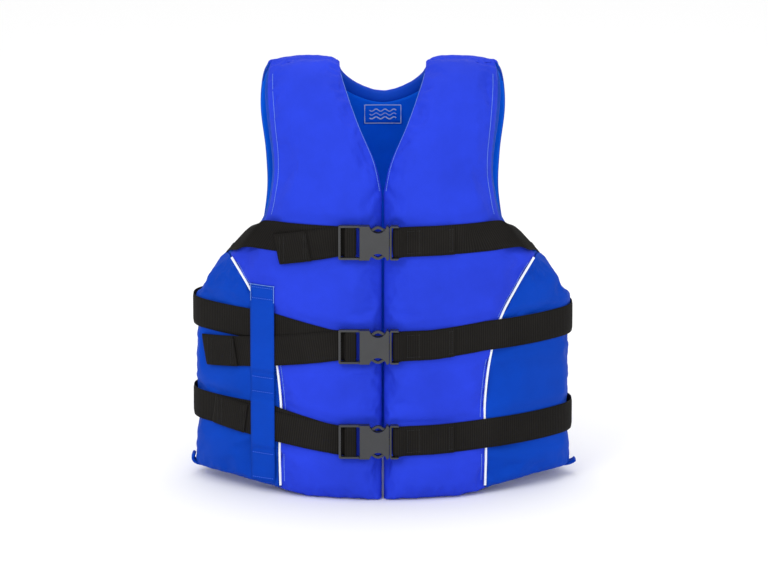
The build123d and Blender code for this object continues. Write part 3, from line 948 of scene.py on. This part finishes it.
# sewn end, round the clip's bar, then along the left front to the side
def makeClipWeb(beltName, belt):
    z = belt["buckle"]
    second = webMiddle + webs["sewnLift"]
    pairs = []
    for x in (90, 78, 64, 50):
        pairs.append(upright(x * mm, -faceDepth(x * mm, second), float(beltHeight(belt, x * mm))))
    barPath = [(40, -faceDepth(0.040, second) / mm - 0.4), (28, -faceDepth(0.028, second) / mm - 1.4),
               (21, -142.7), (15.2, -143.1), (13.8, -142.6), (13.3, -141.2), (13.3, -139.6),
               (13.9, -138.3), (15.2, -137.9),
               (19, -137.8), (25, -faceDepth(0.025, webMiddle) / mm - 1.0),
               (34, -faceDepth(0.034, webMiddle) / mm - 0.2)]
    pairs += [upright(x * mm, y * mm, z) for x, y in barPath]
    if beltName == "chest":
        for x in (44, 58, 72, 88, 102):
            pairs.append(upright(x * mm, -faceDepth(x * mm, webMiddle), z))
        pairs += [chestSection(k, 1) for k in (0, 1, 2, 3, 4)]
    else:
        pairs += loopPairs(belt, angleOf(46 * mm), quarterTurn + 0.03, webMiddle)
    piece = ribbonPiece(f"{beltName}_clip_webbing", pairs, "blackWebbing", webs["thick"], webs["pitch"],
                        webs["ribDepth"])
    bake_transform(piece)
    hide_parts(f"{beltName}_clip_web")


# loose end beyond the ladder bar, folded over on itself at its end and sewn
def makeTail(beltName, belt):
    first = webMiddle + webs["thick"] + webs["gap"]
    second = first + webs["thick"] + 0.25 * mm
    pairs = []

    def onFace(x, lift):
        # the edges stand square to the tail's own run, more so away from the buckle
        height = belt["buckle"] - belt["tailDrop"] * (x - webs["ladder"])
        lean = belt["tailDrop"] * webs["halfWidth"] * min(1, max(0, (x - webs["ladder"]) / (30 * mm)))
        return tuple(onFront(-x - way * lean, height + way * webs["halfWidth"], lift) for way in (1, -1))

    end = belt["tailEnd"]
    for x in np.linspace(50.5 * mm, end - 4 * mm, max(6, int((end - 50 * mm) / (9 * mm)))):
        pairs.append(onFace(x, first))
    pairs.append(onFace(end - 1.0 * mm, first + 0.1 * mm))
    pairs.append(onFace(end - 0.1 * mm, (first + second) / 2))
    pairs.append(onFace(end - 1.0 * mm, second - 0.1 * mm))
    for x in np.linspace(end - 4 * mm, end - webs["fold"], 6):
        pairs.append(onFace(x, second))
    piece = ribbonPiece(f"{beltName}_tail_webbing", pairs, "blackWebbing", webs["thick"], webs["pitch"],
                        webs["ribDepth"])
    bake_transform(piece)
    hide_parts(f"{beltName}_tail")


for beltName, belt in belts.items():
    makeFixedWeb(beltName, belt)
    makeClipWeb(beltName, belt)
    makeTail(beltName, belt)
print("webbing made")


def makeKeeper():
    path = [(keeper["low"], webs["lift"])]
    for low, high in keeper["tunnels"]:
        path += [(low, webs["lift"]), (low + keeper["ramp"], keeper["lift"]),
                 (high - keeper["ramp"], keeper["lift"]), (high, webs["lift"])]
    path.append((keeper["high"], webs["lift"]))
    heights = np.arange(keeper["low"], keeper["high"] + 1e-6, 3 * mm)
    lifts = np.interp(heights, [p[0] for p in path], [p[1] for p in path]) + keeper["thick"] / 2
    pairs = []
    for z, lift in zip(heights, lifts):
        pairs.append((onFront(keeper["left"], z, lift), onFront(keeper["right"], z, lift)))
    piece = ribbonPiece("strap_keeper_band", pairs, "blueNylon", keeper["thick"], 3 * mm, outward=5)
    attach(piece, "vest")
    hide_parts("strap_keeper")


makeKeeper()

# piping along the seam between the centre and side cloths
pipingCord = {"radius": 1.6 * mm, "sink": 0.2 * mm, "sides": 12}


def makePiping(label, side):
    z = np.arange(297, 3, -3) * mm
    x = outlines["piping"](z)
    rows = bendHem(z - torso["shoulderStart"], x)
    centre = wallPoint(angleAtX(x, rows) * side, rows, pipingCord["sink"] / torso["wallFront"], -1)
    fine = smoothThrough(centre, 3)
    along = np.gradient(fine, axis=0)
    along /= np.linalg.norm(along, axis=1, keepdims=True)
    outward = fine - np.array([0, mainCentre + torso["middle"], 0])
    outward[:, 2] = 0
    outward /= np.linalg.norm(outward, axis=1, keepdims=True)
    sideways = np.cross(along, outward)
    points, faces, uvs = [], [], []
    sides = pipingCord["sides"]
    for i in range(len(fine)):
        for k in range(sides):
            turn = 2 * math.pi * k / sides
            spoke = outward[i] * math.cos(turn) + sideways[i] * math.sin(turn)
            points.append(fine[i] + spoke * pipingCord["radius"])
            uvs.append((i * mm, k * mm))
    for i in range(len(fine) - 1):
        for k in range(sides):
            n = (k + 1) % sides
            faces.append((i * sides + k, i * sides + n, (i + 1) * sides + n, (i + 1) * sides + k))
    faces.append(tuple(range(sides)))
    faces.append(tuple((len(fine) - 1) * sides + k for k in range(sides)))
    piece = meshPiece(f"{label}_piping_cord", points, faces, "whitePiping", uvs)
    facesOutward(piece)
    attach(piece, "vest")
    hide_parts(f"{label}_piping")


for sideName, side in sides.items():
    makePiping(sideName, side)


def makeBinding(label, side):
    low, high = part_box(f"{label}_shoulder_binding")
    top = torso["shoulderStart"] + torso["shoulderRise"]
    pairs = []
    for x in np.linspace(low.x + 1 * mm, high.x - 1 * mm, 20):
        pairs.append(((x, low.y, top - 1.4 * mm), (x, high.y, top - 1.4 * mm)))
    piece = ribbonPiece(f"{label}_shoulder_tape", pairs, "royalNylon", 1.0 * mm, 2 * mm, columns=11)
    mesh = piece.data
    co = meshPoints(mesh)
    across = (co[:, 1] - torso["middle"]) / (9 * mm)
    co[:, 2] += 1.2 * mm * (1 - across**2) - 1.0 * mm
    mesh.vertices.foreach_set("co", co.ravel())
    mesh.update()
    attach(piece, "vest")
    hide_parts(f"{label}_shoulder_binding")


for sideName, side in sides.items():
    makeBinding(sideName, side)


seamCurls = {  # spare cloth at the foot of a side seam: x outwards and z
    "left": [(220, 13), (230, 13.5), (237, 14.5), (242, 16.5), (245.5, 19)],
    "right": [(226, 14), (234, 14.5), (240, 17), (242.5, 22), (240.5, 27.5)],
}


def makeCurl(label, side):
    near, far = torso["middle"] - 12 * mm, torso["middle"] + 6 * mm
    pairs = [((side * x * mm, near, z * mm), (side * x * mm, far, z * mm)) for x, z in seamCurls[label]]
    piece = ribbonPiece(f"{label}_seam_curl", pairs, "blueNylon", 4 * mm, 1.5 * mm, columns=9)
    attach(piece, "vest")


for sideName, side in sides.items():
    makeCurl(sideName, side)

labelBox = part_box("size_label")
label = {"width": 46 * mm, "tall": 26 * mm, "line": 1.0 * mm, "middle": (labelBox[0].z + labelBox[1].z) / 2}


# y of the inner face of the back at x and z
def liningDepth(x, z, extra):
    row = z - torso["shoulderStart"]
    if row > 0:
        row = torso["shoulderRise"] * math.asin(min(1, row / (torso["shoulderRise"] - torso["shoulderWall"])))
    share = 1 + (lining["lift"] + lining["thick"] + extra) / torso["wallFront"]
    _, halfY, _, radius, _, _ = rowForm(np.array(row), share)
    return float(math.sqrt(radius**2 - x * x) - (radius - halfY)) + torso["middle"]


def labelStrip(name, path, width, finish, lift, thick=0.3 * mm):
    pairs = []
    path = np.array(path)
    along = np.gradient(path, axis=0)
    along /= np.linalg.norm(along, axis=1, keepdims=True)
    for (x, z), (dx, dz) in zip(path, along):
        a = (x - dz * width / 2, z + dx * width / 2)
        b = (x + dz * width / 2, z - dx * width / 2)
        pairs.append(tuple((px, liningDepth(px, pz, lift), pz) for px, pz in (a, b)))
    piece = ribbonPiece(name, pairs, finish, thick, 1.0 * mm, columns=5)
    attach(piece, "vest")
    return piece


halfW, halfT, zMid = label["width"] / 2, label["tall"] / 2, label["middle"]
# the label's backing takes the same painted-bright lining colour
plate = labelStrip("label_plate", [(x, zMid) for x in np.linspace(-halfW - 2 * mm, halfW + 2 * mm, 30)],
                   label["tall"] + 4 * mm, "liningNylonPaintedLit", 0.9 * mm, 0.5 * mm)
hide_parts("size_label")
frameLines = {
    "top": [(x, zMid + halfT) for x in np.linspace(-halfW, halfW, 24)],
    "bottom": [(x, zMid - halfT) for x in np.linspace(-halfW, halfW, 24)],
    "left": [(-halfW, z) for z in np.linspace(zMid - halfT, zMid + halfT, 14)],
    "right": [(halfW, z) for z in np.linspace(zMid - halfT, zMid + halfT, 14)],
}
for k, rise in enumerate((5.5, 0, -5.5)):
    xs = np.linspace(-17 * mm, 17 * mm, 60)
    frameLines[f"wave_{k}"] = [(x, zMid + rise * mm + 1.6 * mm * math.sin(x / (17 * mm) * 3 * math.pi))
                               for x in xs]
for part, path in frameLines.items():
    width = label["line"] * (1.5 if "wave" in part else 1)
    strip = labelStrip(f"label_{part}", path, width, "labelPrint", 1.9 * mm)
print("trim made")

# stitches, by Geometry Nodes: short threads set along lines
stitching = {
    "pitch": 3.0 * mm,
    "length": 2.1 * mm,
    "radius": 0.35 * mm,
    "finePitch": 2.4 * mm,
    "fineRadius": 0.3 * mm,
    "fromEdge": 3 * mm,
    "fromPiping": 5.5 * mm,
    "pipingRuns": ((20, 56), (104, 178), (230, 296)),  # heights between the belts, in millimetres
}


def stitchTree(finish):
    tree = bpy.data.node_groups.new("stitchRow_" + finish, "GeometryNodeTree")
    face = tree.interface
    face.new_socket("Geometry", in_out="INPUT", socket_type="NodeSocketGeometry")
    sockets = {}
    for key in ("Pitch", "Length", "Radius"):
        sockets[key] = face.new_socket(key, in_out="INPUT", socket_type="NodeSocketFloat")
        sockets[key].default_value = stitching[key.lower()]
    face.new_socket("Geometry", in_out="OUTPUT", socket_type="NodeSocketGeometry")
    node, link = tree.nodes.new, tree.links.new
    start, end = node("NodeGroupInput"), node("NodeGroupOutput")
    curve = node("GeometryNodeMeshToCurve")
    resample = node("GeometryNodeResampleCurve")
    resample.mode = "LENGTH"
    tangent = node("GeometryNodeInputTangent")
    align = node("FunctionNodeAlignRotationToVector")
    align.axis = "Z"
    thread = node("GeometryNodeMeshCylinder")
    thread.inputs["Vertices"].default_value = 6
    thread.fill_type = "TRIANGLE_FAN"
    place = node("GeometryNodeInstanceOnPoints")
    real = node("GeometryNodeRealizeInstances")
    setMaterial = node("GeometryNodeSetMaterial")
    setMaterial.inputs["Material"].default_value = finishes[finish]
    link(start.outputs["Geometry"], curve.inputs["Mesh"])
    link(curve.outputs["Curve"], resample.inputs["Curve"])
    link(start.outputs["Pitch"], resample.inputs["Length"])
    link(resample.outputs["Curve"], place.inputs["Points"])
    link(tangent.outputs["Tangent"], align.inputs["Vector"])
    link(align.outputs["Rotation"], place.inputs["Rotation"])
    link(start.outputs["Length"], thread.inputs["Depth"])
    link(start.outputs["Radius"], thread.inputs["Radius"])
    link(thread.outputs["Mesh"], place.inputs["Instance"])
    link(place.outputs["Instances"], real.inputs["Geometry"])
    link(real.outputs["Geometry"], setMaterial.inputs["Geometry"])
    link(setMaterial.outputs["Geometry"], end.inputs["Geometry"])
    return tree, {key: socket.identifier for key, socket in sockets.items()}


stitchTrees = {}


def stitchPiece(name, lines, finish, body, pitch=None, radius=None):
    points, edges = [], []
    for line in lines:
        base = len(points)
        points += [tuple(p) for p in line]
        edges += [(base + k, base + k + 1) for k in range(len(line) - 1)]
    mesh = bpy.data.meshes.new(name + "_line")
    mesh.from_pydata(points, edges, [])
    guide = bpy.data.objects.new(name + "_line", mesh)
    bpy.context.scene.collection.objects.link(guide)
    if finish not in stitchTrees:
        stitchTrees[finish] = stitchTree(finish)
    tree, sockets = stitchTrees[finish]
    modifier = guide.modifiers.new("stitches", "NODES")
    modifier.node_group = tree
    modifier[sockets["Pitch"]] = pitch or stitching["pitch"]
    modifier[sockets["Radius"]] = radius or stitching["radius"]
    evaluated = guide.evaluated_get(bpy.context.evaluated_depsgraph_get())
    made = bpy.data.meshes.new_from_object(evaluated)
    made.name = name
    piece = bpy.data.objects.new(name, made)
    bpy.context.scene.collection.objects.link(piece)
    bpy.data.objects.remove(guide)
    made.shade_smooth()
    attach(piece, body)
    return piece


# casts from the front onto the finished padded cloth
def surfaceFinder(pieces):
    graph = bpy.context.evaluated_depsgraph_get()
    shown = [piece.evaluated_get(graph) for piece in pieces]

    def find(x, z, lift):
        best = None
        for cloth in shown:
            hit, place, normal, _ = cloth.ray_cast(Vector((x, -0.4, z)), Vector((0, 1, 0)))
            if hit and (best is None or place.y < best.y):
                best = place + normal * lift
        return best

    return find


def edgeLine(find, xs, zs, lift=0.15 * mm):
    found = [find(x, z, lift) for x, z in zip(xs, zs)]
    return [p for p in found if p is not None]


def makeStitches():
    find = surfaceFinder([piece for pair in pads.values() for piece in pair])
    step = 3  # millimetres between the points of a line
    lines = []
    for side in sides.values():
        z = np.arange(398, 528, step) * mm
        lines.append(edgeLine(find, side * (outlines["neck"](z) + stitching["fromEdge"]), z))
        z = np.arange(362, 528, step) * mm
        lines.append(edgeLine(find, side * (outlines["frontArm"](z) - stitching["fromEdge"]), z))
        for low, high in stitching["pipingRuns"]:
            z = np.arange(low, high, step) * mm
            lines.append(edgeLine(find, side * (outlines["piping"](z) - stitching["fromPiping"]), z))
    lines = [line for line in lines if len(line) > 2]
    # these rows take the lightened thread: part topstitching, part painted highlight along the rounded edges
    stitchPiece("edge_stitches", lines, "paleThreadPaintedHighlight", "vest", stitching["finePitch"],
                stitching["fineRadius"])


makeStitches()


# boxes of thread where the webbing is sewn: by the clip and at the tail's fold
def webStitches(beltName, belt):
    z = belt["buckle"]
    def liftAt(x):
        # the web climbs towards the clip's bar
        return webs["lift"] + webs["thick"] + webs["sewnLift"] + 0.1 * mm + (1.2 * mm if x < 0.04 else 0)

    lines = []
    for x0, x1 in ((31, 46), (84, 87)):
        xs = np.linspace(x0, x1, 6) * mm
        for level in (-14, 14):
            lines.append([onFront(x, float(beltHeight(belt, x)) + level * mm, liftAt(x)) for x in xs])
        for x in (x0 * mm, x1 * mm):
            middle = float(beltHeight(belt, x))
            lines.append([onFront(x, middle + level * mm, liftAt(x)) for level in np.linspace(-14, 14, 8)])
    stitchPiece(f"{beltName}_clip_stitches", lines, "blackThread", f"{beltName}_clip",
                stitching["finePitch"], stitching["fineRadius"])
    lift = webMiddle + webs["thick"] * 2.5 + webs["gap"] + 0.35 * mm
    lines = []
    for back in (4, 9, 34, 37):
        x = belt["tailEnd"] - back * mm
        middle = z - belt["tailDrop"] * (x - webs["ladder"])
        lines.append([onFront(-x, middle + level * mm, lift) for level in np.linspace(-15, 15, 9)])
    stitchPiece(f"{beltName}_tail_stitches", lines, "blackThread", f"{beltName}_tail",
                stitching["finePitch"], stitching["fineRadius"])


for beltName, belt in belts.items():
    webStitches(beltName, belt)


def keeperStitches():
    lift = webs["lift"] + keeper["thick"] + 0.15 * mm
    lines = []
    spots = (keeper["low"] + 4 * mm, 52 * mm, 132 * mm, 151 * mm, 253 * mm, keeper["high"] - 4 * mm)
    for z in spots:
        xs = np.linspace(keeper["left"] + 3 * mm, keeper["right"] - 3 * mm, 10)
        lines.append([onFront(x, z, lift) for x in xs])
    stitchPiece("keeper_stitches", lines, "blueThread", "vest")
    edge = []
    for x in (keeper["left"] + 0.5 * mm, keeper["right"] - 0.5 * mm):
        edge.append([onFront(x, z, lift)
                     for z in np.linspace(keeper["tunnels"][1][1] + 2 * mm, keeper["high"] - 1 * mm, 8)])
    xs = np.linspace(keeper["left"], keeper["right"], 10)
    edge.append([onFront(x, keeper["high"] - 0.7 * mm, lift) for x in xs])
    # the keeper's edge rows take the same lightened thread: part stitching, part painted highlight
    stitchPiece("keeper_edge_stitches", edge, "paleThreadPaintedHighlight", "vest", 2.2 * mm, 0.4 * mm)


keeperStitches()
print("stitches set")

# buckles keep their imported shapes, with a moulded finish
for node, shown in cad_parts.items():
    if "buckle" in node or node.endswith("_arm"):
        shown.data.materials.clear()
        shown.data.materials.append(finishes["blackPlastic"])

# floor, lights, camera
studio = {"distance": 8.0, "elevation": 14.0, "frameWidth": 0.975, "aim": (0.0015, 0.0, 0.2440)}


def makeStudio():
    material, tree, shader = newMaterial("paleFloor")
    noise = addNode(tree, "ShaderNodeTexNoise", [("Scale", 3.0)])
    ramp = addNode(tree, "ShaderNodeValToRGB")
    ramp.color_ramp.elements[0].color = (0.93, 0.93, 0.93, 1)
    ramp.color_ramp.elements[1].color = (0.95, 0.95, 0.95, 1)
    tree.links.new(noise.outputs["Fac"], ramp.inputs["Fac"])
    tree.links.new(ramp.outputs["Color"], shader.inputs["Base Color"])
    shader.inputs["Roughness"].default_value = 0.9
    finishes["paleFloor"] = material
    size = 30
    floor = meshPiece("floor", [(-size, -size, 0), (size, -size, 0), (size, size, 0), (-size, size, 0)],
                      [(0, 1, 2, 3)], "paleFloor")
    world = bpy.data.worlds.new("softStudio")
    bpy.context.scene.world = world
    world.use_nodes = True
    background = world.node_tree.nodes["Background"]
    background.inputs["Color"].default_value = (1, 1, 1, 1)
    background.inputs["Strength"].default_value = 1.0
    lamps = {
        "keyPanel": ((-1.4, -2.2, 2.3), 1.5, 24),
        "frontPanel": ((0.5, -3.2, 1.0), 1.4, 17),
        "topPanel": ((0.2, 0.5, 2.4), 1.6, 10),
    }
    for name, (place, side, power) in lamps.items():
        lamp = bpy.data.lights.new(name, "AREA")
        lamp.shape, lamp.size, lamp.energy = "SQUARE", side, power
        holder = bpy.data.objects.new(name, lamp)
        holder.location = place
        aim = Vector((0, 0, 0.28)) - Vector(place)
        holder.rotation_euler = aim.to_track_quat("-Z", "Y").to_euler()
        bpy.context.scene.collection.objects.link(holder)
    angle = math.radians(studio["elevation"])
    aim = Vector(studio["aim"])
    camera = bpy.data.cameras.new("frontCamera")
    camera.sensor_width = 36
    camera.lens = 36 * studio["distance"] / studio["frameWidth"]
    camera.clip_end = 100
    holder = bpy.data.objects.new("frontCamera", camera)
    holder.location = aim + Vector((0, -math.cos(angle), math.sin(angle))) * studio["distance"]
    holder.rotation_euler = (aim - holder.location).to_track_quat("-Z", "Y").to_euler()
    bpy.context.scene.collection.objects.link(holder)
    bpy.context.scene.camera = holder
    bpy.context.scene.view_settings.view_transform = "Standard"


makeStudio()
print("studio set")
